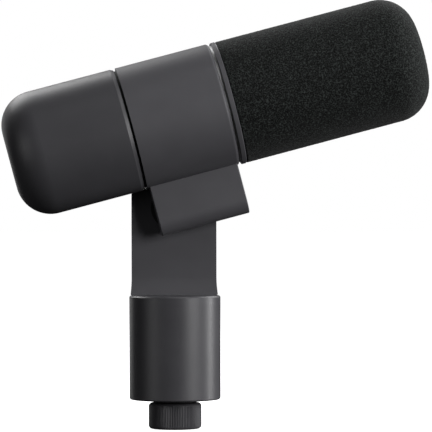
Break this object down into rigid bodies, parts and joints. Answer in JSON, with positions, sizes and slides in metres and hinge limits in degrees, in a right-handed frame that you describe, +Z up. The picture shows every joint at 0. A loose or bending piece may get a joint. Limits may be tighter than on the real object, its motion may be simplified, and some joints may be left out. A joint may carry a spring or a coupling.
{
  "type": "ribbon microphone",
  "caption": "End-address studio microphone with a foam windscreen, hung by a tongue on a tilting, swivelling stem with a knurled stand collar.",
  "frame": {"origin": "centre of the stand thread's mouth, at the bottom of the knurled collar", "axes": "+Z up along the stem, +X towards the microphone's front, +Y towards the side that the arm and the connector are on"},
  "size_m": [0.2041, 0.0596, 0.2046],
  "materials": {
    "black_satin": "satin",
    "black_knurled": "satin, straight knurl",
    "ring_grey": "satin",
    "foam": "open-cell foam",
    "steel": "turned",
    "aluminium": "bead blasted",
    "brass": "turned",
    "copper": "enamelled wire",
    "black_plastic": "moulded",
    "board_green": "laminate",
    "rubber": "moulded",
    "felt": "felt"
  },
  "bodies": {
    "stand_collar": {"knurled_collar": "black_knurled", "thread_insert": "steel"},
    "stem": {"swivel_washer": "black_plastic", "retaining_washer": "steel", "spindle_screw": "steel", "base_plate": "aluminium", "base_plate_screws": "steel", "base_housing": "black_satin", "arm_screws": "steel", "stem_arm": "black_satin", "pivot_bush": "brass", "friction_washer": "black_plastic", "pivot_cap": "black_satin", "xlr_shell": "black_plastic", "xlr_insulator": "black_plastic", "xlr_pins": "brass", "xlr_ring_nut": "black_plastic", "xlr_bracket": "steel", "bracket_screws": "steel", "stem_lead": "rubber"},
    "head": {"mount_band": "black_satin", "rear_shell": "black_satin", "pivot_shaft": "steel", "thrust_washer": "steel", "spring_washers": "steel", "lock_nut": "steel", "bulkhead_screws": "steel", "sled_screws": "steel", "strap_screws": "steel", "board_screws": "steel", "clamp_screws": "steel", "transformer_can": "steel", "transformer_core": "steel", "transformer_strap": "steel", "motor_frame": "steel", "magnets": "steel", "pole_pieces": "steel", "damping_screens": "steel", "bulkhead": "aluminium", "sled": "aluminium", "motor_carrier": "aluminium", "ribbon": "aluminium", "front_collar": "aluminium", "terminal_pins": "brass", "ribbon_clamps": "brass", "transformer_winding": "copper", "transformer_bobbin": "black_plastic", "clamp_insulators": "black_plastic", "labyrinth_body": "black_plastic", "grille_basket": "black_plastic", "terminal_board": "board_green", "rear_seal": "rubber", "shock_rings": "rubber", "head_lead": "rubber", "ribbon_lead": "rubber", "damping_felt": "felt", "grille_lining": "felt"},
    "windscreen": {"windscreen_ring": "ring_grey", "foam_windscreen": "foam"}
  },
  "joints": [
    {"name": "collar_swivel", "type": "hinge", "parent": "stand_collar", "child": "stem", "pos_m": [0, 0, 0.0125], "axis": [0, 0, 1], "continuous": true},
    {"name": "head_tilt", "type": "hinge", "parent": "stem", "child": "head", "pos_m": [0, 0.0076, 0.1055], "axis": [0, -1, 0], "range_deg": [-68, 2.5]},
    {"name": "windscreen_pull", "type": "slide", "parent": "head", "child": "windscreen", "axis": [0.9668, 0, 0.2554], "range_m": [0, 0.11]}
  ]
}
